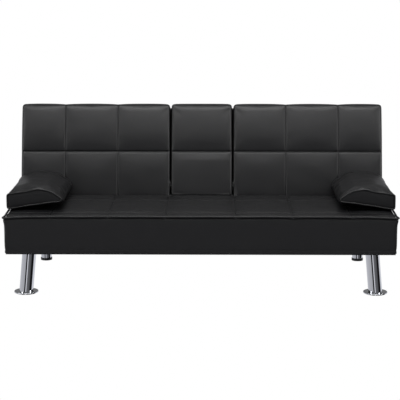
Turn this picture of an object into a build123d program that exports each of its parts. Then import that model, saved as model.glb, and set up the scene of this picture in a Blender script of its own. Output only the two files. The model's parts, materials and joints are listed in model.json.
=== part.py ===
from build123d import *
from math import cos, radians, sin
import os

# Futon sofa bed. Sizes are in millimetres. X runs along the sofa, Y from its front to its back
# and Z up from the floor. The parts are drawn with y = 0 on the front face of the seat and are
# moved at the end, so that the origin is on the floor at the centre of the whole sofa.
# "left" is the side at -X, which is on the left when facing the sofa.

# Seat
width = 1670
seat_depth = 518
seat_bottom = 180
seat_top = 343
seat_wall = 14
foam_height = 88
sheet = 1.5
spring_count = 8
spring_pitch = 170
spring_wire = 1.8
spring_swing = 22
spring_turns = 16

# Backrest. Its own directions are t, from its front face to its rear, and s, up along it.
recline = 16
pivot_y = 565
pivot_z = 303
pivot_inset = 40
back_top = 455
back_bottom = -40
cushion_thickness = 126
cover_thickness = 4
back_thickness = cushion_thickness + cover_thickness
section_edge = 149
fold_angle = 74

# Fold-down centre console with two cup holders
console_half = 135
console_thickness = 96
console_pivot_inset = 28
console_pivot_s = 70.4
console_gap = 3
rod_radius = 5
cup_radius = 39
cup_wall = 2
cup_depth = 53
cup_x = 62
cup_s = 345
flange = 1.5
lower_strip_radius = 28
bracket_thickness = 4
bracket_screws_s = (64, 84)

# Timber frame
board = 22
rail_height = 60
frame_front_t = 76
frame_rear_t = 121

# Steelwork under the seat
leg_radius = 30
leg_wall = 2
leg_top = (738, 75)
leg_foot = (753, 60)
disc_radius = 52
disc_thickness = 5
pad_thickness = 2
plate_size = 78
plate_thickness = 3
bolt_places = (180, 430)
side_x = 738
side_width = 50
side_height = 30
side_front = 130
side_rear = 700
rear_leg_y = 668
rear_leg_radius = 25

# Hinges
steel = 5
hinge_gap = 1
hinge_head = 28
rivet_radius = 6
running_clearance = 0.05
stop_radius = 19
stop_pin_radius = 3.5
stop_angle = 135
hinge_screws_t = 97
hinge_screws_s = (90, 135, 180)

# Armrest cushions
arm_inner = 600
arm_front = 135
arm_gap = 3.5
strip_thickness = 1.3
strip_gap = 0.3
strip_x = (690, 740)
strip_y = (190, 480)
arm_bottom = seat_top + 2 * strip_thickness + strip_gap

lean = radians(recline)
depth = pivot_y + (back_top - 6) * sin(lean) + (back_thickness - pivot_inset) * cos(lean)
to_origin = Pos(0, -depth / 2, 0)
in_backrest = Pos(0, pivot_y, pivot_z) * Rot(-recline, 0, 0)
bracket_x = side_x + side_width / 2
plate_x = bracket_x - hinge_gap - steel
upright_x = plate_x - board


def block(x, y, z):
    # A box between two values along each axis.
    middle = Pos((x[0] + x[1]) / 2, (y[0] + y[1]) / 2, (z[0] + z[1]) / 2)
    return middle * Box(x[1] - x[0], y[1] - y[0], z[1] - z[0])


def back_block(x, t, s):
    # A box in the backrest's own directions.
    return in_backrest * block(x, (t[0] - pivot_inset, t[1] - pivot_inset), s)


def side_profile(x, outline):
    # A bar along X with the outline that it shows from the side.
    view = Plane(origin=(x[0], 0, 0), x_dir=(0, 1, 0), z_dir=(1, 0, 0))
    return extrude(view * outline, amount=x[1] - x[0], dir=(1, 0, 0))


def rounded(y, z, radii):
    # A rectangle with its own radius at each corner: low front, low rear, high rear, high front.
    outline = Pos((y[0] + y[1]) / 2, (z[0] + z[1]) / 2) * Rectangle(y[1] - y[0], z[1] - z[0])
    corners = ((y[0], z[0]), (y[1], z[0]), (y[1], z[1]), (y[0], z[1]))
    for corner, radius in zip(corners, radii):
        nearest = outline.vertices().sort_by_distance((corner[0], corner[1], 0))[0]
        outline = fillet(nearest, radius)
    return outline


def back_bar(x, t, s, radii):
    outline = rounded((t[0] - pivot_inset, t[1] - pivot_inset), s, radii)
    return in_backrest * side_profile(x, outline)


def rod_x(x, y, z, radius):
    # A round bar along X.
    return Pos((x[0] + x[1]) / 2, y, z) * Rot(0, 90, 0) * Cylinder(radius, x[1] - x[0])


def back_rod(x, t, s, radius):
    return in_backrest * rod_x(x, t - pivot_inset, s, radius)


def rod_t(x, t, s, radius):
    # A round bar through the thickness of the backrest.
    middle = (t[0] + t[1]) / 2 - pivot_inset
    return in_backrest * Pos(x, middle, s) * Rot(90, 0, 0) * Cylinder(radius, t[1] - t[0])


def post(x, y, z, radius):
    return Pos(x, y, (z[0] + z[1]) / 2) * Cylinder(radius, z[1] - z[0])


def other_side(shape):
    return mirror(shape, about=Plane.YZ)


def both_sides(shapes):
    return Compound(list(shapes) + [other_side(shape) for shape in shapes])


# Seat

def seat_cushion():
    # Foam and its cover as one cap, hollow below where the timber frame and the springs sit.
    floor = seat_bottom + sheet
    body = block((-width / 2, width / 2), (0, seat_depth), (floor, seat_top))
    body = fillet(body.edges().filter_by(Axis.Z), 14)
    body = fillet(body.faces().sort_by(Axis.Z)[-1].edges(), 10)
    half = width / 2 - seat_wall
    pocket = block((-half, half), (seat_wall, seat_depth - seat_wall), (floor, seat_top - foam_height))
    return body - pocket


def seat_rails():
    low = seat_bottom + sheet
    high = low + rail_height
    outer = width / 2 - seat_wall - 2
    front = seat_wall + 2
    rear = seat_depth - seat_wall - 2
    inside = (front + board, rear - board)
    end = block((outer - board, outer), inside, (low, high))
    cross = block((270 - board / 2, 270 + board / 2), inside, (low, high - 18))
    return {
        "seat_rail_front": block((-outer, outer), (front, front + board), (low, high)),
        "seat_rail_rear": block((-outer, outer), (rear - board, rear), (low, high)),
        "seat_rails_end": both_sides([end]),
        "seat_rails_cross": both_sides([cross]),
    }


def corner_blocks():
    # Glued triangular blocks in the four corners of the seat frame.
    low = seat_bottom + sheet
    leg = 28
    x = width / 2 - seat_wall - 2 - board
    front = seat_wall + 2 + board
    rear = seat_depth - seat_wall - 2 - board
    blocks = []
    for y, way in ((front, 1), (rear, -1)):
        corner = Polygon((x, y), (x - leg, y), (x, y + way * leg), align=None)
        blocks.append(extrude(Pos(0, 0, low + 2) * corner, amount=rail_height - 4, dir=(0, 0, 1)))
    return both_sides(blocks)


def leg_board(screws, bolts):
    # A board across the frame that the leg plate and the side tube are screwed to.
    low = seat_bottom + sheet
    front = seat_wall + 2 + board
    rear = seat_depth - seat_wall - 2 - board
    return block((side_x - 30, side_x + 30), (front, rear), (low, low + 25)) - [screws, bolts]


def spring_places():
    return [(place - (spring_count - 1) / 2) * spring_pitch for place in range(spring_count)]


def seat_springs():
    # Sinuous steel wires from the front rail to the rear rail.
    height = seat_bottom + sheet + rail_height + spring_wire
    first = seat_wall + 14
    last = seat_depth - seat_wall - 14
    step = (last - first) / spring_turns
    springs = []
    for x in spring_places():
        points = [(x, first, height)]
        for turn in range(1, spring_turns):
            points.append((x + spring_swing * (-1) ** turn, first + turn * step, height))
        points.append((x, last, height))
        path = FilletPolyline(*points, radius=8)
        start = Plane(origin=path @ 0, z_dir=path % 0)
        springs.append(sweep(start * Circle(spring_wire), path=path))
    return Compound(springs)


def spring_clips():
    # A folded steel clip over each end of every spring, nailed to the rail.
    top = seat_bottom + sheet + rail_height
    clips = []
    for x in spring_places():
        for y, way in ((seat_wall + 13, 1), (seat_depth - seat_wall - 13, -1)):
            clip = block((x - 9, x + 9), (y - 9, y + 9), (top, top + 7))
            room = block((x - 10, x + 10), sorted((y - 7 * way, y + 10 * way)), (top, top + 5.6))
            clips.append(clip - room)
    return Compound(clips)


def dust_cover(screws, bolts):
    # Black non-woven cloth stapled under the frame.
    edge = 5
    cover = block(
        (-width / 2 + edge, width / 2 - edge), (edge, seat_depth - edge), (seat_bottom, seat_bottom + sheet)
    )
    return cover - [screws, other_side(screws), bolts, other_side(bolts)]


# Legs and the steel tubes that carry the rear legs

def front_leg():
    # A splayed tube, cut level where it meets its plate and its foot.
    low = pad_thickness + disc_thickness
    high = seat_bottom - plate_thickness
    top = Vector(leg_top[0], leg_top[1], high)
    foot = Vector(leg_foot[0], leg_foot[1], low)
    line = top - foot
    ring = Circle(leg_radius) - Circle(leg_radius - leg_wall)
    tube = extrude(Plane(origin=foot - line * 0.2, z_dir=line) * ring, amount=line.length * 1.4)
    level = Pos(0, 0, (low + high) / 2) * Box(4 * width, 4 * width, high - low)
    return tube & level


def front_foot():
    low = pad_thickness
    disc = post(leg_foot[0], leg_foot[1], (low, low + disc_thickness), disc_radius)
    return fillet(disc.faces().sort_by(Axis.Z)[-1].edges(), 1.5)


def front_pad():
    return post(leg_foot[0], leg_foot[1], (0, pad_thickness), disc_radius - 4)


def screw_places():
    reach = plate_size / 2 - 13
    return [(leg_top[0] + i * reach, leg_top[1] + j * reach) for i in (-1, 1) for j in (-1, 1)]


def leg_screws():
    # Four screws through each leg plate into the board above it.
    low = seat_bottom - plate_thickness
    screws = []
    for x, y in screw_places():
        screws.append(post(x, y, (low - 2.5, low), 5) + post(x, y, (low, low + 24), 2.5))
    return Compound(screws)


def leg_plate(screws):
    low = seat_bottom - plate_thickness
    middle = Pos(leg_top[0], leg_top[1], low + plate_thickness / 2)
    plate = middle * Box(plate_size, plate_size, plate_thickness)
    return fillet(plate.edges().filter_by(Axis.Z), 8) - screws


def rail_bolts():
    # Two bolts up through each side tube into the board above it.
    low = seat_bottom - side_height
    bolts = []
    for y in bolt_places:
        bolts.append(post(side_x, y, (low - 5, low), 7) + post(side_x, y, (low, seat_bottom + 24), 4))
    return Compound(bolts)


def side_tube(bolts):
    x = (side_x - side_width / 2, side_x + side_width / 2)
    low = seat_bottom - side_height
    outside = block(x, (side_front, side_rear), (low, seat_bottom))
    outside = fillet(outside.edges().filter_by(Axis.Y), 4)
    inside = block((x[0] + 2, x[1] - 2), (side_front, side_rear), (low + 2, seat_bottom - 2))
    return outside - inside - bolts


def tube_caps():
    # Moulded plugs in both ends of each side tube.
    x = (side_x - side_width / 2 + 2, side_x + side_width / 2 - 2)
    z = (seat_bottom - side_height + 2, seat_bottom - 2)
    plugs = [block(x, (y, y + 12), z) for y in (side_front, side_rear - 12)]
    return both_sides(plugs)


def rear_cross_bar():
    half = side_x - side_width / 2
    bar = block((-half, half), (side_rear - 27, side_rear - 2), (seat_bottom - 28, seat_bottom - 3))
    return bar - block((-half, half), (side_rear - 25, side_rear - 4), (seat_bottom - 26, seat_bottom - 5))


def rear_leg():
    z = (3, seat_bottom - side_height)
    return post(side_x, rear_leg_y, z, rear_leg_radius) - post(side_x, rear_leg_y, z, rear_leg_radius - 2)


def rear_leg_cap():
    cup = post(side_x, rear_leg_y, (0, 12), rear_leg_radius + 2)
    return fillet(cup.edges(), 1) - post(side_x, rear_leg_y, (3, 13), rear_leg_radius)


# Backrest hinges

def hinge_rivet():
    # The pivot that the backrest turns on, held in the bracket.
    shank = rod_x((plate_x - 0.5, bracket_x + steel), pivot_y, pivot_z, rivet_radius)
    inner = rod_x((plate_x - 4.5, plate_x - 0.5), pivot_y, pivot_z, 10)
    outer = rod_x((bracket_x + steel, bracket_x + steel + 3), pivot_y, pivot_z, 10)
    return shank + inner + outer


def stop_pin():
    angle = radians(stop_angle)
    y = pivot_y + stop_radius * cos(angle)
    z = pivot_z + stop_radius * sin(angle)
    return rod_x((plate_x - 1, bracket_x + steel), y, z, stop_pin_radius)


def hinge_bracket(rivet, pin):
    # A plate welded to the side tube, which rises to the pivot behind the seat.
    low = seat_bottom - side_height + 2
    stem = Polygon(
        (pivot_y - 24, low),
        (pivot_y + 40, low),
        (pivot_y + 40, seat_bottom + 4),
        (pivot_y + 25, seat_bottom + 22),
        (pivot_y + 25, pivot_z),
        (pivot_y - 24, pivot_z),
        align=None,
    )
    outline = stem + Pos(pivot_y, pivot_z) * Circle(hinge_head)
    return side_profile((bracket_x, bracket_x + steel), outline) - [rivet, pin]


def hinge_screws():
    # Three screws through each backrest plate into the frame's outer upright.
    screws = []
    for s in hinge_screws_s:
        head = back_rod((plate_x + steel, plate_x + steel + 2.5), hinge_screws_t, s, 5)
        screws.append(head + back_rod((plate_x - 18, plate_x + steel), hinge_screws_t, s, 2.5))
    return Compound(screws)


def hinge_plate(screws):
    # A plate that turns on the rivet. The stop pin runs in its curved slot.
    arm = Polygon((20, -18), (76, 46), (76, 200), (36, 200), (36, 95), (-24, 8), align=None)
    outline = arm + Circle(hinge_head) - Circle(rivet_radius + running_clearance)
    start = stop_angle + recline
    track = CenterArc((0, 0), stop_radius, start, fold_angle)
    outline -= SlotArc(track, 2 * stop_pin_radius + 0.6)
    return in_backrest * side_profile((plate_x, plate_x + steel), outline) - screws


# Backrest

def hinge_slot():
    # Room in the backrest for the bracket and the rivet at every angle.
    x = (plate_x - 7, bracket_x + steel + 7)
    low = back_block(x, (8, back_thickness + 5), (back_bottom - 5, 37))
    return low + back_block(x, (30, back_thickness + 5), (36, 102))


def back_cushion():
    # The right-hand section: foam and cover, hollow at the rear for the frame.
    x = (section_edge, width / 2)
    body = back_bar(x, (0, cushion_thickness), (back_bottom, back_top), (pivot_inset, 8, 10, 18))
    pocket = back_block(
        (section_edge + seat_wall, bracket_x + steel + 7), (60, cushion_thickness + 1), (-10, back_top - 17)
    )
    return body - [pocket, hinge_slot()]


def back_cushion_lower():
    # The strip under the console, which the frame's bottom rail runs through. Its upper front edge
    # is rounded so far that the console clears it when it lies level.
    top = console_pivot_s - console_pivot_inset - console_gap
    x = (-console_half, console_half)
    radii = (pivot_inset, 8, 3, lower_strip_radius)
    body = back_bar(x, (0, cushion_thickness), (back_bottom, top), radii)
    return body - back_block(x, (60, cushion_thickness + 1), (-10, top - 0.9))


def back_frame():
    t = (frame_front_t, frame_rear_t)
    low = -8
    joint = 37
    top = back_top - 20
    inner = (section_edge + 16, section_edge + 16 + board)
    outer = (upright_x, plate_x)
    upright_inner = back_block(inner, t, (joint, top - 35))
    upright_outer = back_block(outer, t, (joint, top - 35))
    rail_top = back_block((inner[0], outer[1]), t, (top - 35, top))
    return {
        "back_rail_bottom": back_block((-plate_x, plate_x), t, (low, joint)),
        "back_rail_top_left": other_side(rail_top),
        "back_rail_top_right": rail_top,
        "back_upright_inner_left": other_side(upright_inner),
        "back_upright_inner_right": upright_inner,
        "back_upright_outer_left": other_side(upright_outer),
        "back_upright_outer_right": upright_outer,
    }


def back_webbing():
    # Elastic straps across the front of each half of the frame.
    straps = []
    for place in range(4):
        s = 90 + place * 85
        x = (section_edge + 16, plate_x)
        straps.append(back_block(x, (frame_front_t - 2, frame_front_t), (s - 25, s + 25)))
    return both_sides(straps)


def back_centre_panel():
    # The covered board behind the console.
    half = section_edge - 8
    return back_block((-half, half), (console_thickness + 2, cushion_thickness), (42, back_top - 8))


def back_cover():
    # The cover over the whole rear of the backrest, notched for the hinge brackets.
    half = width / 2 - 2
    cover = back_block((-half, half), (cushion_thickness, back_thickness), (back_bottom + 6, back_top - 6))
    slot = hinge_slot()
    return cover - [slot, other_side(slot)]


# Console

def console_rod():
    half = section_edge - 0.4
    return back_rod((-half, half), console_pivot_inset, console_pivot_s, rod_radius)


def bracket_screws():
    # Two screws hold each console bracket to the frame's inner upright.
    outer = section_edge - 0.4
    screws = []
    inner = outer - bracket_thickness
    for s in bracket_screws_s:
        head = back_rod((inner - 2.4, inner), 104, s, 4.5)
        screws.append(head + back_rod((inner, outer + 30), 104, s, 2.2))
    return Compound(screws)


def console_bracket(screws):
    # A flat arm in the gap beside the console, with the hole that the rod turns in.
    outer = section_edge - 0.4
    outline = rounded((14 - pivot_inset, 118 - pivot_inset), (54, 94), (12, 12, 12, 12))
    arm = in_backrest * side_profile((outer - bracket_thickness, outer), outline)
    bore = rod_radius + running_clearance
    hole = back_rod((outer - 5, outer + 1), console_pivot_inset, console_pivot_s, bore)
    return arm - [hole, screws]


def cup_holder():
    # A pressed cup with a thin flange, set in from the rear face of the console.
    rim = console_thickness - flange
    outside = rod_t(cup_x, (rim - cup_depth - cup_wall, rim), cup_s, cup_radius + cup_wall)
    collar = rod_t(cup_x, (rim, console_thickness), cup_s, cup_radius + 8)
    inside = rod_t(cup_x, (rim - cup_depth, console_thickness + 1), cup_s, cup_radius)
    return outside + collar - inside


def console_cups():
    rim = console_thickness - flange
    hole = rod_t(cup_x, (rim - cup_depth - cup_wall, console_thickness + 1), cup_s, cup_radius + cup_wall)
    return [hole, other_side(hole)]


def console_panel():
    # The covered board in the console's rear face, which is the table when it is folded down.
    rim = console_thickness - flange
    panel = back_block((-console_half + 12, console_half - 12), (rim - 6, rim), (82, back_top - 14))
    return panel - console_cups()


def console_cushion():
    bottom = console_pivot_s - console_pivot_inset
    x = (-console_half, console_half)
    body = back_bar(x, (0, console_thickness), (bottom, back_top), (console_pivot_inset, 26, 10, 18))
    recess = back_block(
        (-console_half + 12, console_half - 12),
        (console_thickness - flange - 6, console_thickness + 1),
        (82, back_top - 14),
    )
    return body - [recess, console_rod()] - console_cups()


# Armrest cushions, held to the seat by hook-and-loop strips

def armrest_cushion():
    # A soft pillow: flat below, high in the middle and drawn down to a lip on its inner side.
    outer = width / 2
    outline = Polygon(
        (arm_inner + 40, arm_bottom),
        (outer - 4, arm_bottom),
        (outer, seat_top + 62),
        (outer - 34, seat_top + 88),
        (outer - 135, seat_top + 97),
        (arm_inner + 22, seat_top + 72),
        (arm_inner, seat_top + 40),
        align=None,
    )
    outline = fillet(outline.vertices(), 12)
    view = Plane(origin=(0, arm_front, 0), x_dir=(1, 0, 0), z_dir=(0, -1, 0))
    pillow = extrude(view * outline, amount=seat_depth, dir=(0, 1, 0))
    behind = back_block((0, width), (-arm_gap, 400), (back_bottom - 300, back_top + 300))
    return pillow - behind


def loop_strip():
    return block(strip_x, strip_y, (arm_bottom - strip_thickness, arm_bottom))


def hook_strip():
    return block(strip_x, strip_y, (seat_top, seat_top + strip_thickness))


def all_parts():
    parts = {}

    def add_pair(name, shape):
        parts[name + "_left"] = other_side(shape)
        parts[name + "_right"] = shape

    screws = leg_screws()
    bolts = rail_bolts()
    parts["seat_cushion"] = seat_cushion()
    parts.update(seat_rails())
    parts["seat_corner_blocks"] = corner_blocks()
    parts["seat_leg_boards"] = both_sides([leg_board(screws, bolts)])
    parts["seat_springs"] = seat_springs()
    parts["seat_spring_clips"] = spring_clips()
    parts["seat_dust_cover"] = dust_cover(screws, bolts)

    add_pair("front_leg", front_leg())
    add_pair("front_foot", front_foot())
    parts["front_foot_pads"] = both_sides([front_pad()])
    parts["front_leg_plates"] = both_sides([leg_plate(screws)])
    parts["front_leg_screws"] = both_sides(screws.solids())
    add_pair("side_tube", side_tube(bolts))
    parts["side_tube_bolts"] = both_sides(bolts.solids())
    parts["side_tube_caps"] = tube_caps()
    parts["rear_cross_bar"] = rear_cross_bar()
    add_pair("rear_leg", rear_leg())
    add_pair("rear_leg_cap", rear_leg_cap())

    rivet = hinge_rivet()
    pin = stop_pin()
    plate_screws = hinge_screws()
    parts["hinge_rivets"] = both_sides([rivet])
    parts["hinge_stop_pins"] = both_sides([pin])
    add_pair("hinge_bracket", hinge_bracket(rivet, pin))
    parts["hinge_screws"] = both_sides(plate_screws.solids())
    add_pair("hinge_plate", hinge_plate(plate_screws))

    arm_screws = bracket_screws()
    rod = console_rod()
    frame = back_frame()
    cushion = back_cushion() - [arm_screws, frame["back_rail_bottom"]]
    frame["back_upright_outer_right"] -= plate_screws
    frame["back_upright_outer_left"] = other_side(frame["back_upright_outer_right"])
    frame["back_upright_inner_right"] -= arm_screws
    frame["back_upright_inner_left"] = other_side(frame["back_upright_inner_right"])
    add_pair("back_cushion", cushion)
    parts["back_cushion_lower"] = back_cushion_lower()
    parts.update(frame)
    parts["back_webbing"] = back_webbing()
    parts["back_centre_panel"] = back_centre_panel()
    parts["back_cover"] = back_cover()
    add_pair("console_bracket", console_bracket(arm_screws))
    parts["console_bracket_screws"] = both_sides(arm_screws.solids())

    parts["console_rod"] = rod
    parts["console_cushion"] = console_cushion()
    parts["console_panel"] = console_panel()
    add_pair("cup_holder", cup_holder())

    add_pair("armrest_cushion", armrest_cushion())
    add_pair("armrest_loop_strip", loop_strip())
    parts["armrest_hook_strips"] = both_sides([hook_strip()])
    return parts


os.makedirs("parts", exist_ok=True)
for name, shape in all_parts().items():
    export_step(to_origin * shape, "parts/" + name + ".step")
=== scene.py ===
import bpy
import json
import math
from mathutils import Matrix, Vector, noise
from mathutils.bvhtree import BVHTree


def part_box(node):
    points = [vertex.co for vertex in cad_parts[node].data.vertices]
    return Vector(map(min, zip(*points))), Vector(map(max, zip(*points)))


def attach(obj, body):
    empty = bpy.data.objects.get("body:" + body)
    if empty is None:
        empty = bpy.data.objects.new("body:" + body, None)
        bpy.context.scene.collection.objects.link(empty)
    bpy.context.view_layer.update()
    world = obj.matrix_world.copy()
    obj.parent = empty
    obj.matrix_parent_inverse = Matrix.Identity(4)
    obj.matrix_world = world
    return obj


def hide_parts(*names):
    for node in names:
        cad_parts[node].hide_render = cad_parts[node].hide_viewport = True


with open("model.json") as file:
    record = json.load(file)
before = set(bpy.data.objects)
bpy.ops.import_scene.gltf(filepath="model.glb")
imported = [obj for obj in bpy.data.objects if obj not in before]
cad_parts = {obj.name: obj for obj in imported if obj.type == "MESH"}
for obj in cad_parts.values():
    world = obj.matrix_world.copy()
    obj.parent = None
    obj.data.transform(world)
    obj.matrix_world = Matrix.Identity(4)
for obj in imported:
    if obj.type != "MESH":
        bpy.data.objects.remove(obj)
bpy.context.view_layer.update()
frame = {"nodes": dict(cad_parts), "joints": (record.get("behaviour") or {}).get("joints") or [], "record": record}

joints = {joint["name"]: joint for joint in frame["joints"]}
backPivot = Vector(joints["back_recline"]["pos_m"])
seatLow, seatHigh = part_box("seat_cushion")
# Sizes are in metres and angles in degrees, in every dictionary below.
backLean = 16  # from upright
pivotInset = 0.040  # the pivot lies this far behind the front face of the backrest


# Small tools for working on a mesh.

def only(piece):
    if bpy.context.object and bpy.context.object.mode != "OBJECT":
        bpy.ops.object.mode_set(mode="OBJECT")
    bpy.ops.object.select_all(action="DESELECT")
    piece.select_set(True)
    bpy.context.view_layer.objects.active = piece


def applyAll(piece):
    only(piece)
    for modifier in list(piece.modifiers):
        bpy.ops.object.modifier_apply(modifier=modifier.name)


def stations(low, high, lines, pitch, crease):
    # even cuts between the seam lines, with a close pair beside each line so that it stays sharp
    marks = [low] + sorted(line for line in lines if low < line < high) + [high]
    cuts = []
    for first, last in zip(marks, marks[1:]):
        count = max(2, round((last - first) / pitch))
        cuts += [first + (last - first) * step / count for step in range(count + 1)]
        if first in lines:
            cuts.append(first + crease)
        if last in lines:
            cuts.append(last - crease)
    return sorted(set(round(cut, 6) for cut in cuts if low < cut < high))


def cutBlock(name, low, high, cuts):
    size = [top - bottom for bottom, top in zip(low, high)]
    middle = [(top + bottom) / 2 for bottom, top in zip(low, high)]
    bpy.ops.object.select_all(action="DESELECT")
    bpy.ops.mesh.primitive_cube_add(size=1, location=middle, scale=size)
    piece = bpy.context.object
    piece.name = name
    piece.data.name = name
    bpy.ops.object.transform_apply(location=True, rotation=True, scale=True)
    bpy.ops.object.mode_set(mode="EDIT")
    for axis, places in enumerate(cuts):
        normal = [0, 0, 0]
        normal[axis] = 1
        for place in places:
            point = [0, 0, 0]
            point[axis] = place
            bpy.ops.mesh.select_all(action="SELECT")
            bpy.ops.mesh.bisect(plane_co=point, plane_no=normal)
    bpy.ops.object.mode_set(mode="OBJECT")
    return piece


# How the cover is drawn in at its seams, the same on every cushion.
seamLook = {
    "creaseGap": 0.0022,  # the pair of cuts that keeps a seam sharp lies this far to each side of it
    "sharpShare": 0.2,  # the part of the dip that is close beside the seam, and how far it reaches
    "sharpReach": 0.005,
    "broadShare": 0.8,  # the part that spreads over the whole panel, and how fast it fades
    "broadPower": 2.2,
    "gathersPerMetre": 75,
    "gatherReach": 0.018,  # how far the gathers run out from the seam
    "gatherStart": 0.006,  # and how far from it they begin
    "hemDip": 0.0025,
    "hemReach": 0.004,
}


def swell(value, low, high, lines, edgeDrop):
    # 0 on a seam line, a quick rise beside it, then a broad crown to 1 in the middle of a panel
    marks = [low] + sorted(lines) + [high]
    for first, last in zip(marks, marks[1:]):
        if value <= last or last == high:
            break
    nearest = first if value - first < last - value else last
    away = max(0.0, abs(value - nearest))
    broad = max(0.0, 1 - 2 * away / (last - first))
    drop = edgeDrop if nearest in (low, high) else 1.0
    sharp = seamLook["sharpShare"] * math.exp(-away / seamLook["sharpReach"])
    return 1 - drop * (sharp + seamLook["broadShare"] * broad ** seamLook["broadPower"])


def pucker(along, across, lines, seed):
    # short gathers that run away from a seam line, a coarse wave and a fine one on top
    coarse = seamLook["gathersPerMetre"]
    depth = 0.0
    for line in lines:
        away = abs(across - line)
        wave = noise.noise(Vector((along * coarse, line * 31, seed)))  # 31 and 17 tell the seams apart
        wave += 0.6 * noise.noise(Vector((along * 2 * coarse, line * 17, seed + 5)))
        fade = math.exp(-away / seamLook["gatherReach"])
        depth += wave * fade * (1 - math.exp(-away / seamLook["gatherStart"]))
    return depth


fauxLeatherCloth = {
    "quality": 4,
    "mass": 0.3,
    "tension_stiffness": 12,
    "compression_stiffness": 12,
    "shear_stiffness": 5,
    "bending_stiffness": 0.4,
}
inflateFrames = 20


def inflate(piece, held, pressure, cap, slack):
    # the cover is fuller than its seams allow, so that it fills and gathers like a sewn cushion;
    # no point moves further than the cap
    before = [vertex.co.copy() for vertex in piece.data.vertices]
    group = piece.vertex_groups.new(name="held")
    group.add(held, 1.0, "REPLACE")
    cloth = piece.modifiers.new("fill", "CLOTH")
    for key, value in fauxLeatherCloth.items():
        setattr(cloth.settings, key, value)
    cloth.settings.vertex_group_mass = "held"
    cloth.settings.use_pressure = True
    cloth.settings.uniform_pressure_force = pressure
    cloth.settings.shrink_min = -slack
    cloth.settings.effector_weights.gravity = 0
    cloth.collision_settings.use_collision = False
    cloth.point_cache.frame_start = 1
    cloth.point_cache.frame_end = inflateFrames
    for step in range(1, inflateFrames + 1):
        bpy.context.scene.frame_set(step)
    applyAll(piece)
    bpy.context.scene.frame_set(1)
    piece.vertex_groups.clear()
    for vertex, start in zip(piece.data.vertices, before):
        moved = vertex.co - start
        if moved.length > cap:
            vertex.co = start + moved * (cap / moved.length)


def subdivide(piece):
    smooth = piece.modifiers.new("smooth", "SUBSURF")
    smooth.levels = 1
    smooth.render_levels = 1
    applyAll(piece)
    only(piece)
    bpy.ops.object.shade_smooth()


def padSection(name, low, high, shape):
    # a padded section is made in its own directions: x across, y into the cushion from its show
    # face, z up along it; it is turned into place when it is finished
    creaseGap = seamLook["creaseGap"]
    onLine = 0.0008  # a point this near to a seam line is on it
    facing = 0.7  # more than this of the way outwards counts as a side or the bottom
    showing = 0.6  # and this much as the show face
    cuts = (
        stations(low[0], high[0], shape["acrossSeams"], shape["pitch"], creaseGap),
        stations(low[1], high[1], shape["hems"], shape["pitch"] * 1.3, creaseGap),
        stations(low[2], high[2], shape["upSeams"], shape["pitch"], creaseGap),
    )
    piece = cutBlock(name, low, high, cuts)
    middle = [(low[axis] + high[axis]) / 2 for axis in range(3)]
    crown = shape["crown"]
    held = []
    sewn = []
    for vertex in piece.data.vertices:
        x, y, z = vertex.co
        # the rounding of the edges: one radius at the rear, another along the bottom
        radii = [shape["radius"]] * 3
        if y > middle[1]:
            radii = [shape["rearRadius"]] * 3
        elif z < middle[2]:
            radii[2] = shape["lowRadius"]
            if z < low[2] + shape["lowRadius"]:
                radii[1] = shape["lowRadius"]
        inner = [min(max(vertex.co[axis], low[axis] + radii[axis]), high[axis] - radii[axis])
                 for axis in range(3)]
        way = Vector([(vertex.co[axis] - inner[axis]) / radii[axis] for axis in range(3)])
        if way.length > 1e-9:
            way.normalize()
            vertex.co = [inner[axis] + way[axis] * radii[axis] for axis in range(3)]
        # how far the cover stands out here, between its seams
        front = max(0.0, -way.y)
        top = max(0.0, way.z)
        side = abs(way.x)
        seamX = swell(x, low[0], high[0], shape["acrossSeams"], shape["edgeDrop"])
        lower = bool(shape["upSeams"]) and z < shape["upSeams"][0]
        seamZ = swell(z, low[2], high[2], shape["upSeams"], shape["edgeDrop"])
        if lower:
            seamZ *= shape["lowerShare"]
        rise = crown * front * (seamZ * (1 - shape["acrossShare"] * (1 - seamX)) - 1)
        if lower:
            below = (shape["upSeams"][0] - z) / (shape["upSeams"][0] - low[2])
            rise -= shape["drawnIn"] * front * below ** 1.5
        rise += shape["topCrown"] * top * (1 - front) * (seamX - 1)
        gather = pucker(z, x, shape["acrossSeams"], 3) + pucker(x, z, shape["upSeams"], 9)
        rise += shape["gather"] * front * gather
        for hem in shape["hems"]:
            rise -= seamLook["hemDip"] * (1 - front) * math.exp(-abs(y - hem) / seamLook["hemReach"])
        rise += shape["sideCrown"] * side * math.sin(math.pi * (z - low[2]) / (high[2] - low[2]))
        vertex.co += way * rise
        onSeam = (any(abs(x - line) < onLine for line in shape["acrossSeams"])
                  or any(abs(z - line) < onLine for line in shape["upSeams"]))
        onHem = any(abs(y - line) < onLine for line in shape["hems"])
        if onSeam and front > showing:
            sewn.append(vertex.index)
        if onSeam or onHem or y > high[1] - onLine or side > facing or -way.z > facing:
            held.append(vertex.index)
    inflate(piece, held, shape["pressure"], shape["cap"], shape["slack"])
    for index in sewn:
        piece.data.vertices[index].co.y += shape["seamDepth"]
    return piece


stitching = {
    "pitch": 0.006,
    "filled": 0.68,  # share of the pitch that a stitch covers
    "thickness": 0.0015,
    "lift": 0.0002,  # its middle stands this far off the cover
    "offset": 0.0055,  # the rows lie this far to each side of a seam
    "lowEnd": 0.03,  # the rows up the cushion stop this far from its edges
    "highEnd": 0.02,
}


def oneStitch(length, thickness):
    # a small ball drawn out along x, which sewLines copies to each place
    bpy.ops.object.select_all(action="DESELECT")
    bpy.ops.mesh.primitive_uv_sphere_add(segments=6, ring_count=4, radius=0.5, location=(0, 0, 0))
    stitch = bpy.context.object
    points = [Vector((vertex.co.z * length, vertex.co.x * thickness, vertex.co.y * thickness))
              for vertex in stitch.data.vertices]
    faces = [tuple(face.vertices) for face in stitch.data.polygons]
    bpy.data.objects.remove(stitch)
    return points, faces


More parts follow.
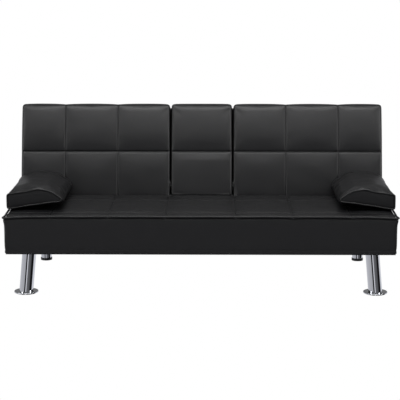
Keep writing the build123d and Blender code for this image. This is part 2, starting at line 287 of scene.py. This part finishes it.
def sewLines(name, piece, lines, look):
    # thread along straight lines on the show face, each line given by its two ends
    tree = BVHTree.FromObject(piece, bpy.context.evaluated_depsgraph_get())
    pitch = stitching["pitch"]
    points, faces = oneStitch(pitch * stitching["filled"], stitching["thickness"])
    allPoints = []
    allFaces = []
    for start, end in lines:
        run = end - start
        count = int(run.length / pitch)
        for step in range(count):
            place = start + run * ((step + 0.5) / count)
            hit, normal = tree.ray_cast(place, look)[:2]
            if hit is None:
                continue
            along = (run - normal * run.dot(normal)).normalized()
            across = normal.cross(along)
            turn = Matrix((along, across, normal)).transposed()
            base = len(allPoints)
            allPoints += [hit + turn @ point + normal * stitching["lift"] for point in points]
            allFaces += [tuple(base + corner for corner in face) for face in faces]
    mesh = bpy.data.meshes.new(name)
    mesh.from_pydata(allPoints, [], allFaces)
    rows = bpy.data.objects.new(name, mesh)
    bpy.context.scene.collection.objects.link(rows)
    only(rows)
    bpy.ops.object.shade_smooth()
    return rows


def seamStitches(name, piece, low, high, shape):
    # a row of thread on each side of every seam, found by looking at the cushion from in front
    away = low[1] - 0.1
    sides = (-stitching["offset"], stitching["offset"])
    lowEnd, highEnd = stitching["lowEnd"], stitching["highEnd"]
    lines = []
    for line in shape["acrossSeams"]:
        for side in sides:
            lines.append((Vector((line + side, away, low[2] + lowEnd)),
                          Vector((line + side, away, high[2] - highEnd))))
    for line in shape["upSeams"]:
        for side in sides:
            lines.append((Vector((low[0] + highEnd, away, line + side)),
                          Vector((high[0] - highEnd, away, line + side))))
    return sewLines(name, piece, lines, Vector((0, 1, 0)))


def pipe(name, points, radius, closed):
    # piping: a round cord under the cover, along the points
    line = bpy.data.curves.new(name, "CURVE")
    line.dimensions = "3D"
    line.bevel_depth = radius
    line.bevel_resolution = 3
    line.resolution_u = 4
    spline = line.splines.new("NURBS")
    spline.points.add(len(points) - 1)
    for target, point in zip(spline.points, points):
        target.co = (*point, 1.0)
    spline.order_u = 3
    spline.use_cyclic_u = closed
    spline.use_endpoint_u = not closed
    holder = bpy.data.objects.new(name, line)
    bpy.context.scene.collection.objects.link(holder)
    only(holder)
    bpy.ops.object.convert(target="MESH")
    bpy.ops.object.shade_smooth()
    return bpy.context.object


def cutAway(piece, tool):
    cut = piece.modifiers.new("cut", "BOOLEAN")
    cut.object = tool
    cut.operation = "DIFFERENCE"
    cut.solver = "EXACT"
    applyAll(piece)
    bpy.data.objects.remove(tool)


def cutSlots(piece, low, high, ways=(-1, 1)):
    # room for the hinge brackets, left open below and behind
    for way in ways:
        middle = [way * (low[0] + high[0]) / 2, (low[1] + high[1]) / 2, (low[2] + high[2]) / 2]
        size = [high[axis] - low[axis] for axis in range(3)]
        bpy.ops.object.select_all(action="DESELECT")
        bpy.ops.mesh.primitive_cube_add(size=1, location=middle, scale=size)
        cutAway(piece, bpy.context.object)


def fromHex(text):
    # an sRGB colour as Blender's linear values
    values = []
    for start in (1, 3, 5):
        value = int(text[start:start + 2], 16) / 255
        values.append(value / 12.92 if value <= 0.04045 else ((value + 0.055) / 1.055) ** 2.4)
    return (*values, 1.0)


def addNode(material, kind, inputs=None, **settings):
    node = material.node_tree.nodes.new(kind)
    for key, value in settings.items():
        setattr(node, key, value)
    for key, value in (inputs or {}).items():
        if isinstance(value, bpy.types.NodeSocket):
            material.node_tree.links.new(value, node.inputs[key])
        else:
            node.inputs[key].default_value = value
    return node


def newMaterial(name, colour, roughness, metallic=0.0, **sockets):
    material = bpy.data.materials.new(name)
    material.use_nodes = True
    shader = material.node_tree.nodes["Principled BSDF"]
    shader.inputs["Base Color"].default_value = fromHex(colour)
    shader.inputs["Roughness"].default_value = roughness
    shader.inputs["Metallic"].default_value = metallic
    for key, value in sockets.items():
        shader.inputs[key.replace("_", " ")].default_value = value
    material.diffuse_color = fromHex(colour)
    return material, shader


def blackFauxLeather():
    # embossed polyurethane on cloth: a fine pebble grain that breaks up a soft sheen, and a gloss that
    # drifts a little from place to place
    grainSize = 0.0024  # the real grain is about 1 mm, too fine to show, so it is drawn coarser
    blotchSize = 0.09  # the gloss drifts over this distance
    material, shader = newMaterial("blackFauxLeather", "#0e0e0f", 0.42, IOR=1.5)
    place = addNode(material, "ShaderNodeTexCoord")
    grain = addNode(material, "ShaderNodeTexVoronoi",
                    {"Vector": place.outputs["Object"], "Scale": 1 / grainSize, "Randomness": 0.9},
                    feature="DISTANCE_TO_EDGE")
    pebble = addNode(material, "ShaderNodeMapRange",
                     {"Value": grain.outputs["Distance"], "From Min": 0.0, "From Max": 0.16})
    blotch = addNode(material, "ShaderNodeTexNoise",
                     {"Vector": place.outputs["Object"], "Scale": 1 / blotchSize, "Detail": 4.0})
    dull = addNode(material, "ShaderNodeMapRange",
                   {"Value": blotch.outputs["Fac"], "From Min": 0.3, "From Max": 0.7,
                    "To Min": 0.37, "To Max": 0.46})
    tone = addNode(material, "ShaderNodeMix",
                   {"Factor": pebble.outputs["Result"], "A": fromHex("#0a0a0b"), "B": fromHex("#111113")},
                   data_type="RGBA")
    relief = addNode(material, "ShaderNodeBump",
                     {"Height": pebble.outputs["Result"], "Strength": 0.3, "Distance": 0.0003})
    material.node_tree.links.new(dull.outputs["Result"], shader.inputs["Roughness"])
    material.node_tree.links.new(tone.outputs[2], shader.inputs["Base Color"])
    material.node_tree.links.new(relief.outputs["Normal"], shader.inputs["Normal"])
    return material


def plainMaterial(name, colour, roughness, metallic, grain, depth, spread=0.06):
    # a base finish whose surface is uneven at the size of its grain, with a little drift in gloss
    material, shader = newMaterial(name, colour, roughness, metallic)
    place = addNode(material, "ShaderNodeTexCoord")
    texture = addNode(material, "ShaderNodeTexNoise",
                      {"Vector": place.outputs["Object"], "Scale": 1 / grain, "Detail": 3.0})
    gloss = addNode(material, "ShaderNodeMapRange",
                    {"Value": texture.outputs["Fac"], "From Min": 0.3, "From Max": 0.7,
                     "To Min": max(0.02, roughness - spread), "To Max": roughness + spread})
    relief = addNode(material, "ShaderNodeBump",
                     {"Height": texture.outputs["Fac"], "Strength": 0.4, "Distance": depth})
    material.node_tree.links.new(gloss.outputs["Result"], shader.inputs["Roughness"])
    material.node_tree.links.new(relief.outputs["Normal"], shader.inputs["Normal"])
    return material


def sawnPine():
    # rough sawn softwood, pale and dull, with growth rings drawn out along the board
    ringsAcross = 60  # a metre; real ones are about 4 mm apart, and are drawn coarser so that they show
    ringsAlong = 3
    material, shader = newMaterial("sawnPine", "#c79f6c", 0.6)
    place = addNode(material, "ShaderNodeTexCoord")
    stretch = addNode(material, "ShaderNodeMapping",
                      {"Vector": place.outputs["Object"], "Scale": (ringsAlong, ringsAcross, ringsAcross)})
    rings = addNode(material, "ShaderNodeTexNoise",
                    {"Vector": stretch.outputs["Vector"], "Scale": 1.0, "Detail": 6.0, "Distortion": 1.2})
    tone = addNode(material, "ShaderNodeMix",
                   {"Factor": rings.outputs["Fac"], "A": fromHex("#a87c49"), "B": fromHex("#dcbd8d")},
                   data_type="RGBA")
    material.node_tree.links.new(tone.outputs[2], shader.inputs["Base Color"])
    return material


# A plain finish is given by its colour, roughness, metallic, and the size and depth of its grain.
leather = blackFauxLeather()
# twisted polyester, duller than the cover; its colour is a little paler than the cover's, partly the thread's own
# tone and partly a painted highlight standing for the sheen along the puckered rows, so that the rows just show
thread = plainMaterial("blackThreadPaintedSheen", "#1b1b1d", 0.75, 0.0, 0.0008, 0.0002)
finishes = {
    "faux_leather": leather,
    "timber": sawnPine(),
    # drawn and oil-tempered wire: a dark, slightly satin metal
    "spring_wire": plainMaterial("drawnSpringWire", "#6f7074", 0.32, 1.0, 0.004, 0.00005),
    # bonded polypropylene fibre: flat black with a felted surface
    "dust_cloth": plainMaterial("nonWovenCloth", "#111112", 0.9, 0.0, 0.0015, 0.0004),
    # steel tube, polished and plated: a near mirror that shows upright streaks of the room
    "chrome": plainMaterial("polishedChrome", "#d6d8dc", 0.07, 1.0, 0.05, 0.00002, spread=0.03),
    # moulded in a lightly etched tool: a soft satin black
    "black_plastic": plainMaterial("mouldedPolypropylene", "#131314", 0.38, 0.0, 0.001, 0.0001),
    # baked polyester powder: an even black with a fine orange peel
    "black_steel": plainMaterial("powderCoatedSteel", "#101011", 0.34, 0.0, 0.0022, 0.0002),
    # electroplated and passivated: pale grey metal with a soft spangle
    "zinc_steel": plainMaterial("zincPlatedSteel", "#a9abaf", 0.3, 1.0, 0.006, 0.00005),
    # rubber strands in a woven cover: matt, with the ribs of the weave
    "elastic_webbing": plainMaterial("wovenWebbing", "#1b1b1d", 0.8, 0.0, 0.0018, 0.0005),
    # woven nylon with cut loops: matt and slightly furry
    "hook_and_loop": plainMaterial("nylonHookTape", "#161617", 0.85, 0.0, 0.0012, 0.0006),
}


def finish(piece, material, body):
    piece.data.materials.clear()
    piece.data.materials.append(material)
    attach(piece, body)


slotOf = {part["node"]: part["material_slot"] for part in frame["record"]["subparts"]}
for node, cadPiece in frame["nodes"].items():
    if cadPiece.data.materials:
        cadPiece.material_slots[0].material = finishes[slotOf[node]]
    else:
        cadPiece.data.materials.append(finishes[slotOf[node]])
print("frame and materials ready")

# The backrest is made upright with its pivot at the middle of the axes, then leant into place.
backPlace = Matrix.Translation(backPivot) @ Matrix.Rotation(math.radians(-backLean), 4, "X")

backSection = {
    "inner": 0.1465,  # from the middle of the sofa
    "outer": 0.835,
    "bottom": -0.039,
    "top": 0.453,
    "thickness": 0.127,
    "setBack": 0.002,  # how far the show face starts behind the plane that the CAD cushion has
    "acrossSeams": (0.389, 0.632),  # the places across the cushion of the seams that run up it
    "upSeams": (0.229,),  # the heights of the level seams
    "hems": (),  # seams round the sides, by their depth behind the show face
    "radius": 0.015,
    "lowRadius": 0.036,
    "rearRadius": 0.012,
    "pitch": 0.0095,  # of the mesh
    "crown": 0.011,  # how far a panel stands out of its seams
    "acrossShare": 0.45,  # the seams that run up the back draw the cover in less than the level one
    "lowerShare": 0.45,  # the lower row is less full than the upper one
    "drawnIn": 0.017,  # and slopes in towards the seat
    "seamDepth": 0.006,
    "edgeDrop": 0.55,  # the outer edges are drawn in this much of what a seam is
    "topCrown": 0.003,
    "sideCrown": 0.001,
    "gather": 0.00004,
    "pressure": 2.0,
    "cap": 0.002,
    "slack": 0.0004,
}
slotLow = (0.750, -0.032, -0.060)  # the hinge bracket's room, in the backrest's own directions
slotHigh = (0.775, 0.120, 0.036)


def makeBackSection(side):
    shape = dict(backSection)
    edges = sorted((side * shape["inner"], side * shape["outer"]))
    shape["acrossSeams"] = tuple(side * line for line in shape["acrossSeams"])
    low = (edges[0], -pivotInset + shape["setBack"], shape["bottom"])
    high = (edges[1], -pivotInset + shape["thickness"], shape["top"])
    name = "backCushionRight" if side > 0 else "backCushionLeft"
    piece = padSection(name, low, high, shape)
    cutSlots(piece, slotLow, slotHigh, (side,))
    subdivide(piece)
    sewn = seamStitches(name + "Stitches", piece, low, high, shape)
    return piece, sewn


for side, node in ((-1, "back_cushion_left"), (1, "back_cushion_right")):
    section, sewn = makeBackSection(side)
    section.data.transform(backPlace)
    sewn.data.transform(backPlace)
    finish(section, leather, "backrest")
    finish(sewn, thread, "backrest")
    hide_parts(node)
print("backrest sections ready")

halfTurn = Matrix.Rotation(math.pi, 4, "Z")  # for a pad whose show face looks to the rear
consoleShape = dict(
    backSection, acrossSeams=(), crown=0.010, radius=0.013, lowRadius=0.012, drawnIn=0.006,
    half=0.1405, bottom=0.021, top=0.453, thickness=0.088,
    # the holes for the cup holders: place across, behind the pivot and above it, radius and depth
    cupX=0.062, cupY=0.038, cupUp=0.345, cupRadius=0.0412, cupDepth=0.08,
)


def cutCups(piece):
    for way in (-1, 1):
        place = (way * consoleShape["cupX"], consoleShape["cupY"], consoleShape["cupUp"])
        bpy.ops.object.select_all(action="DESELECT")
        bpy.ops.mesh.primitive_cylinder_add(
            vertices=64, radius=consoleShape["cupRadius"], depth=consoleShape["cupDepth"],
            location=place, rotation=(math.pi / 2, 0, 0))
        cutAway(piece, bpy.context.object)


def makeConsole():
    half = consoleShape["half"]
    low = (-half, -pivotInset + consoleShape["setBack"], consoleShape["bottom"])
    high = (half, -pivotInset + consoleShape["thickness"], consoleShape["top"])
    piece = padSection("consoleCushion", low, high, consoleShape)
    subdivide(piece)
    cutCups(piece)
    return piece, seamStitches("consoleStitches", piece, low, high, consoleShape)


consolePiece, consoleSewn = makeConsole()
for piece, material in ((consolePiece, leather), (consoleSewn, thread)):
    piece.data.transform(backPlace)
    finish(piece, material, "console")
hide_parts("console_cushion")
print("console ready")

# Panels covered over board. Their boxes are given as they lie in the upright backrest.
thinShape = dict(
    backSection, acrossSeams=(), upSeams=(), radius=0.0028, lowRadius=0.0028, rearRadius=0.001, pitch=0.018,
    crown=0.002, topCrown=0, sideCrown=0, gather=0.0001, edgeDrop=0.5, seamDepth=0.001, acrossShare=1.0,
)
tableShape = dict(thinShape, low=(-0.136, 0.0484, 0.050), high=(0.136, 0.0544, 0.447))
rearShape = dict(
    thinShape, low=(-0.833, 0.0855, -0.034), high=(0.833, 0.0905, 0.449),
    acrossSeams=(-0.49, -0.149, 0.149, 0.49), crown=0.0022,
)
centreShape = dict(
    thinShape, low=(-0.150, 0.0580, 0.030), high=(0.150, 0.0858, 0.446),
    radius=0.006, lowRadius=0.006, crown=0.004, pitch=0.014,
)
lowerShape = dict(
    thinShape, low=(-0.160, -0.024, -0.039), high=(0.160, 0.0858, 0.039),
    radius=0.024, lowRadius=0.030, rearRadius=0.004, crown=0.001, pitch=0.014,
)
boardCorner = 35  # an edge sharper than this stays crisp


def rearPad(name, shape, holes=False, slots=False):
    # a pad that shows to the rear is made facing forward and turned
    low, high = shape["low"], shape["high"]
    piece = padSection(name, (-high[0], -high[1], low[2]), (-low[0], -low[1], high[2]), shape)
    piece.data.transform(halfTurn)
    if holes:
        cutCups(piece)
    if slots:
        cutSlots(piece, slotLow, slotHigh)
    only(piece)
    bpy.ops.object.shade_smooth_by_angle(angle=math.radians(boardCorner))
    piece.data.transform(backPlace)
    return piece


consoleTable = rearPad("consoleTable", tableShape, holes=True)
finish(consoleTable, leather, "console")
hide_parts("console_panel")

rearCover = rearPad("backrestRearCover", rearShape, slots=True)
finish(rearCover, leather, "backrest")
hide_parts("back_cover")


def frontPad(name, shape):
    piece = padSection(name, shape["low"], shape["high"], shape)
    subdivide(piece)
    piece.data.transform(backPlace)
    finish(piece, leather, "backrest")
    return piece


centrePanel = frontPad("panelBehindConsole", centreShape)
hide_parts("back_centre_panel")
lowerStrip = frontPad("stripBelowConsole", lowerShape)
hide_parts("back_cushion_lower")
print("backrest panels ready")

# The seat is made as if stood on its rear edge, its top facing forward: z is the depth of the sofa.
seatShape = {
    "acrossSeams": (-0.642, -0.393, -0.150, 0.150, 0.393, 0.642),
    "upSeams": (0.045, 0.112, 0.400),  # from the front edge of the seat
    "hems": (0.143,),  # along the bottom of the front and the sides
    "setBack": 0.001,  # at the front and at the rear
    "radius": 0.008,
    "lowRadius": 0.008,
    "rearRadius": 0.004,
    "pitch": 0.0125,
    "crown": 0.004,
    "acrossShare": 0.8,
    "lowerShare": 1.0,
    "drawnIn": 0.0,
    "seamDepth": 0.003,
    "edgeDrop": 0.2,
    "topCrown": 0.0,
    "sideCrown": 0.0,
    "gather": 0.00016,
    "pressure": 2.0,
    "cap": 0.003,
    "slack": 0.006,
}
seatEdging = {
    "sag": 0.006,  # the front edge is this much lower at the corners than in the middle
    "sagPower": 8,
    "sagReach": 0.05,
    "wander": 0.0016,
    "earOut": 0.011,  # the point at each front corner, to the side and forward
    "earForward": 0.004,
    "earReach": 0.016,
    "earBelow": 0.006,  # its middle lies this far under the top of the seat
    "weltRadius": 0.0044,
    "weltInset": 0.0028,
    "weltAbove": 0.0018,
    "weltShort": 0.02,  # the piping stops this far from the rear edge
    "weltPitch": 0.02,
}


def makeSeat():
    half = (seatHigh.x - seatLow.x) / 2
    low = (-half, 0.0, seatShape["setBack"])
    high = (half, seatHigh.z - seatLow.z, seatHigh.y - seatLow.y - seatShape["setBack"])
    piece = padSection("seatCushion", low, high, seatShape)
    for vertex in piece.data.vertices:
        vertex.co.y += frontSag(vertex.co, half)
        vertex.co += earPush(vertex.co, half)
    subdivide(piece)
    return piece, seamStitches("seatStitches", piece, low, high, seatShape), seatWelt(half, high[2])


def frontSag(point, half):
    # the front edge wanders a little and is pulled down towards both corners
    reach = seatEdging["sagReach"]
    forward = math.exp(-point.z / reach) * math.exp(-point.y / reach)
    sag = seatEdging["sag"] * (abs(point.x) / half) ** seatEdging["sagPower"]
    return forward * (sag + seatEdging["wander"] * noise.noise(Vector((point.x * 9, 0, 2))))


def earPush(point, half):
    # the cover stands out in a small point at both front corners
    push = Vector((0, 0, 0))
    for way in (-1, 1):
        corner = Vector((way * half, seatEdging["earBelow"], 0.0))
        near = math.exp(-((point - corner).length / seatEdging["earReach"]) ** 2)
        push += Vector((way * seatEdging["earOut"], 0.0, -seatEdging["earForward"])) * near
    return push


def seatWelt(half, depth):
    # the piped seam along both sides and across the front of the seat
    inset = seatEdging["weltInset"]
    under = -seatEdging["weltAbove"]
    end = depth - seatEdging["weltShort"]
    corners = (Vector((-half + inset, under, end)), Vector((-half + inset, under, inset)),
               Vector((half - inset, under, inset)), Vector((half - inset, under, end)))
    points = []
    for first, last in zip(corners, corners[1:]):
        count = max(2, round((last - first).length / seatEdging["weltPitch"]))
        points += [first.lerp(last, step / count) for step in range(count)]
    points.append(corners[-1])
    for point in points:
        point.y += frontSag(point, half)
        point += earPush(point, half)
    return pipe("seatWelt", points, seatEdging["weltRadius"], False)


seatPlace = Matrix.Translation((0, seatLow.y, seatHigh.z)) @ Matrix.Rotation(math.radians(-90), 4, "X")
seatPiece, seatSewn, seatEdge = makeSeat()
for piece, material in ((seatPiece, leather), (seatSewn, thread), (seatEdge, leather)):
    piece.data.transform(seatPlace)
    finish(piece, material, "seat")
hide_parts("seat_cushion")
print("seat ready")

armShape = {
    "inner": 0.600,  # from the middle of the sofa
    "outer": 0.842,
    "front": seatLow.y + 0.137,
    "rearGap": -0.003,  # pressed this far into the backrest
    "across": 26,  # cuts of the mesh
    "along": 40,
    "thick": 8,
    # height above the floor along the width, from the inner tip to the outer side
    "frontTop": ((0, 0.392), (0.07, 0.407), (0.16, 0.423), (0.26, 0.434), (0.43, 0.441),
                 (0.70, 0.4275), (1, 0.418)),
    "frontBottom": ((0, 0.385), (0.13, 0.379), (0.53, 0.364), (0.94, 0.3485), (1, 0.347)),
    "bodyTop": ((0, 0.388), (0.08, 0.412), (0.32, 0.442), (0.62, 0.445), (0.90, 0.430), (1, 0.412)),
    "bodyBottom": ((0, 0.372), (0.12, 0.353), (0.30, 0.3468), (0.95, 0.3468), (1, 0.350)),
    "corners": Vector((0.06, 0.014, 0.22)),  # rounding across, along and up, as shares of each
    "lift": 0.20,  # share of the length over which the end panel's outline turns into the body's
    "puff": 0.006,  # the top swells behind the end panel, then fades to the rear
    "puffStart": 0.06,
    "puffFade": 0.5,
    "innerBulge": 0.004,
    "bulgeStart": 0.1,
    "creaseDepth": 0.0022,  # folds behind the end panel, and where along the length they come and go
    "creaseStart": 0.02,
    "creaseFade": 0.10,
    "waveDepth": 0.0016,  # broad waves along the top
    "pressure": 2.0,
    "cap": 0.005,
    "slack": 0.02,
    "weltRadius": 0.0034,
    "weltForward": 0.001,
    "weltAbove": 0.0015,
}


def heightAt(points, value):
    # a smooth height between the listed ones
    for first, last in zip(points, points[1:]):
        if value <= last[0] or last is points[-1]:
            part = min(1.0, max(0.0, (value - first[0]) / (last[0] - first[0])))
            return first[1] + (last[1] - first[1]) * (part * 0.5 + part * part * (3 - 2 * part) * 0.5)


def armSurface(u, v, w):
    # u from the inner tip to the outer side, v from bottom to top, w from front to rear
    shape = armShape
    blend = min(1.0, w / shape["lift"])
    blend = blend * blend * (3 - 2 * blend)
    top = heightAt(shape["frontTop"], u) * (1 - blend) + heightAt(shape["bodyTop"], u) * blend
    bottom = heightAt(shape["frontBottom"], u) * (1 - blend) + heightAt(shape["bodyBottom"], u) * blend
    puff = shape["puff"] * (1 - math.exp(-w / shape["puffStart"])) * math.exp(-w / shape["puffFade"])
    z = bottom + v * (top - bottom) + puff * max(0.0, v - 0.5) * 2 * math.sin(math.pi * u)
    # the rear end lies against the leaning front of the backrest
    lean = math.radians(backLean)
    rear = backPivot.y - pivotInset / math.cos(lean) + (z - backPivot.z) * math.tan(lean) - shape["rearGap"]
    y = shape["front"] + w * (rear - shape["front"])
    x = shape["inner"] + u * (shape["outer"] - shape["inner"])
    x -= shape["innerBulge"] * (1 - math.exp(-w / shape["bulgeStart"])) * (1 - u)
    return Vector((x, y, z))


def softCorner(place, radius):
    # brings a place in the unit cube in to the rounded corners and edges
    inner = Vector([min(max(value, size), 1 - size) for value, size in zip(place, radius)])
    way = Vector([(value - base) / size for value, base, size in zip(place, inner, radius)])
    if way.length > 1:
        way.normalize()
    return [base + part * size for base, part, size in zip(inner, way, radius)]


def makeArmrest(side):
    shape = armShape
    name = "armrestCushionRight" if side > 0 else "armrestCushionLeft"
    counts = (shape["across"], shape["along"], shape["thick"])
    cuts = [[step / count for step in range(1, count)] for count in counts]
    piece = cutBlock(name, (0, 0, 0), (1, 1, 1), cuts)
    held = []  # the end panel, the rear end and the underside
    for vertex in piece.data.vertices:
        if vertex.co.y < 0.001 or vertex.co.y > 0.97 or vertex.co.z < 0.001:
            held.append(vertex.index)
        u, w, v = softCorner(vertex.co, shape["corners"])
        vertex.co = armSurface(u, v, w)
        upper = max(0.0, v - 0.4)
        crease = math.exp(-w / shape["creaseFade"]) * (1 - math.exp(-w / shape["creaseStart"])) * upper
        vertex.co.z += shape["creaseDepth"] * crease * noise.noise(Vector((u * 11, w * 4, 3 * side)))
        vertex.co.z += shape["waveDepth"] * upper * noise.noise(Vector((u * 5, w * 6, 8 + side)))
        vertex.co.x *= side
    if side < 0:
        only(piece)
        bpy.ops.object.mode_set(mode="EDIT")
        bpy.ops.mesh.select_all(action="SELECT")
        bpy.ops.mesh.flip_normals()
        bpy.ops.object.mode_set(mode="OBJECT")
    inflate(piece, held, shape["pressure"], shape["cap"], shape["slack"])
    subdivide(piece)
    return piece, makeWelt(name + "Welt", side)


def makeWelt(name, side):
    # the piped seam round the end panel
    edge = [(step / 24, 1) for step in range(25)] + [(1, 1 - step / 8) for step in range(1, 8)]
    edge += [(1 - step / 24, 0) for step in range(25)] + [(0, step / 8) for step in range(1, 8)]
    outline = []
    for across, up in edge:
        u, w, v = softCorner(Vector((across, 0, up)), armShape["corners"])
        above = armShape["weltAbove"] if up > 0.5 else 0
        point = armSurface(u, v, w) + Vector((0, -armShape["weltForward"], above))
        outline.append(Vector((point.x * side, point.y, point.z)))
    return pipe(name, outline, armShape["weltRadius"], True)


for side, word in ((-1, "left"), (1, "right")):
    cushion, welt = makeArmrest(side)
    finish(cushion, leather, "armrest_" + word)
    finish(welt, leather, "armrest_" + word)
    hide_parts("armrest_cushion_" + word)
print("armrests ready")

paper = {
    "toRoom": 0.35,  # its glow as the sofa receives it, and as the camera sees it
    "toCamera": 1.0,
    "centre": (0, 1.5, 0),
    "size": (9, 7, 1),
}


def setStage():
    # white paper that glows for the camera, so that no shadow shows on it
    white, shader = newMaterial("paleStudioPaper", "#000000", 0.9)
    path = addNode(white, "ShaderNodeLightPath")
    glow = addNode(white, "ShaderNodeMapRange",
                   {"Value": path.outputs["Is Camera Ray"],
                    "To Min": paper["toRoom"], "To Max": paper["toCamera"]})
    white.node_tree.links.new(glow.outputs["Result"], shader.inputs["Emission Strength"])
    shader.inputs["Emission Color"].default_value = (1, 1, 1, 1)
    shader.inputs["Specular IOR Level"].default_value = 0
    bpy.ops.object.select_all(action="DESELECT")
    bpy.ops.mesh.primitive_plane_add(size=1, location=paper["centre"])
    floor = bpy.context.object
    floor.name = "studioFloor"
    floor.scale = paper["size"]
    bpy.ops.object.transform_apply(location=True, rotation=True, scale=True)
    floor.data.materials.append(white)
    floor.visible_glossy = False  # the pale paper would wash out the chrome and the leather


room = {
    "fill": 0.2,
    "coolness": 1.05,  # the bands are a little bluer than grey
    # brightness round the room as polished metal sees it: share of the whole turn, then the
    # brightness there
    "bands": ((0.0, 0.75), (0.30, 0.55), (0.40, 0.50), (0.415, 0.01), (0.465, 0.01), (0.475, 0.9),
              (0.50, 0.8), (0.515, 0.18), (0.64, 0.10), (0.66, 0.008), (0.76, 0.008), (0.79, 0.85),
              (1.0, 0.75)),
}


def setRoom():
    # white behind the sofa for the camera, dim light all round, and dark and bright upright panels
    # that only polished metal shows
    world = bpy.data.worlds.new("studio")
    bpy.context.scene.world = world
    world.use_nodes = True
    tree = world.node_tree.nodes
    tree["Background"].inputs["Strength"].default_value = 1.0
    path = addNode(world, "ShaderNodeLightPath")
    view = addNode(world, "ShaderNodeNewGeometry")
    parts = addNode(world, "ShaderNodeSeparateXYZ", {"Vector": view.outputs["Incoming"]})
    turn = addNode(world, "ShaderNodeMath", {0: parts.outputs["X"], 1: parts.outputs["Y"]},
                   operation="ARCTAN2")
    share = addNode(world, "ShaderNodeMapRange",
                    {"Value": turn.outputs["Value"], "From Min": math.pi, "From Max": -math.pi})
    bands = addNode(world, "ShaderNodeValToRGB", {"Fac": share.outputs["Result"]})
    stops = bands.color_ramp.elements
    for place, level in room["bands"][1:-1]:
        stops.new(place)
    for stop, (place, level) in zip(stops, room["bands"]):
        stop.color = (level, level, level * room["coolness"], 1)
    fill = (room["fill"], room["fill"], room["fill"], 1)
    low = addNode(world, "ShaderNodeMapRange",
                  {"Value": parts.outputs["Z"], "From Min": -0.2, "From Max": 0.0})
    shown = addNode(world, "ShaderNodeMath", {0: low.outputs["Result"], 1: path.outputs["Is Glossy Ray"]},
                    operation="MULTIPLY")
    metal = addNode(world, "ShaderNodeMix", {"Factor": shown.outputs["Value"], "A": fill}, data_type="RGBA")
    world.node_tree.links.new(bands.outputs["Color"], metal.inputs[7])
    seen = addNode(world, "ShaderNodeMix", {"Factor": path.outputs["Is Camera Ray"]}, data_type="RGBA")
    world.node_tree.links.new(metal.outputs[2], seen.inputs[6])
    seen.inputs[7].default_value = (1, 1, 1, 1)
    world.node_tree.links.new(seen.outputs[2], tree["Background"].inputs["Color"])


softBoxes = {  # place, the point it is aimed at, size and watts
    "overhead": ((0.0, -1.1, 2.3), (0, 0.1, 0.5), (3.0, 0.9), 46),
    "sideLeft": ((-3.0, -1.2, 1.6), (0, 0, 0.4), (0.6, 2.2), 26),
    "sideRight": ((3.0, -1.2, 1.6), (0, 0, 0.4), (0.6, 2.2), 36),
    "behind": ((0.0, 1.4, 2.6), (0, 0.1, 0.4), (3.0, 0.6), 6),
}


def setLights():
    for name, (place, target, size, power) in softBoxes.items():
        lamp = bpy.data.lights.new(name, "AREA")
        lamp.shape = "RECTANGLE"
        lamp.size, lamp.size_y = size
        lamp.energy = power
        holder = bpy.data.objects.new(name, lamp)
        holder.location = place
        holder.rotation_euler = (Vector(target) - Vector(place)).to_track_quat("-Z", "Y").to_euler()
        bpy.context.scene.collection.objects.link(holder)


viewpoint = {
    "lens": 124.2,  # millimetres, as is the sensor
    "sensor": 36,
    "place": (0.053, seatLow.y - 5.714, 1.528),
    "down": 10.99,
    "left": 0.551,
}


def setCamera():
    lens = bpy.data.cameras.new("camera")
    lens.lens = viewpoint["lens"]
    lens.sensor_width = viewpoint["sensor"]
    camera = bpy.data.objects.new("camera", lens)
    camera.location = viewpoint["place"]
    camera.rotation_euler = (math.radians(90 - viewpoint["down"]), 0, math.radians(viewpoint["left"]))
    bpy.context.scene.collection.objects.link(camera)
    bpy.context.scene.camera = camera


setStage()
setRoom()
setLights()
setCamera()
bpy.context.scene.view_settings.view_transform = "Standard"
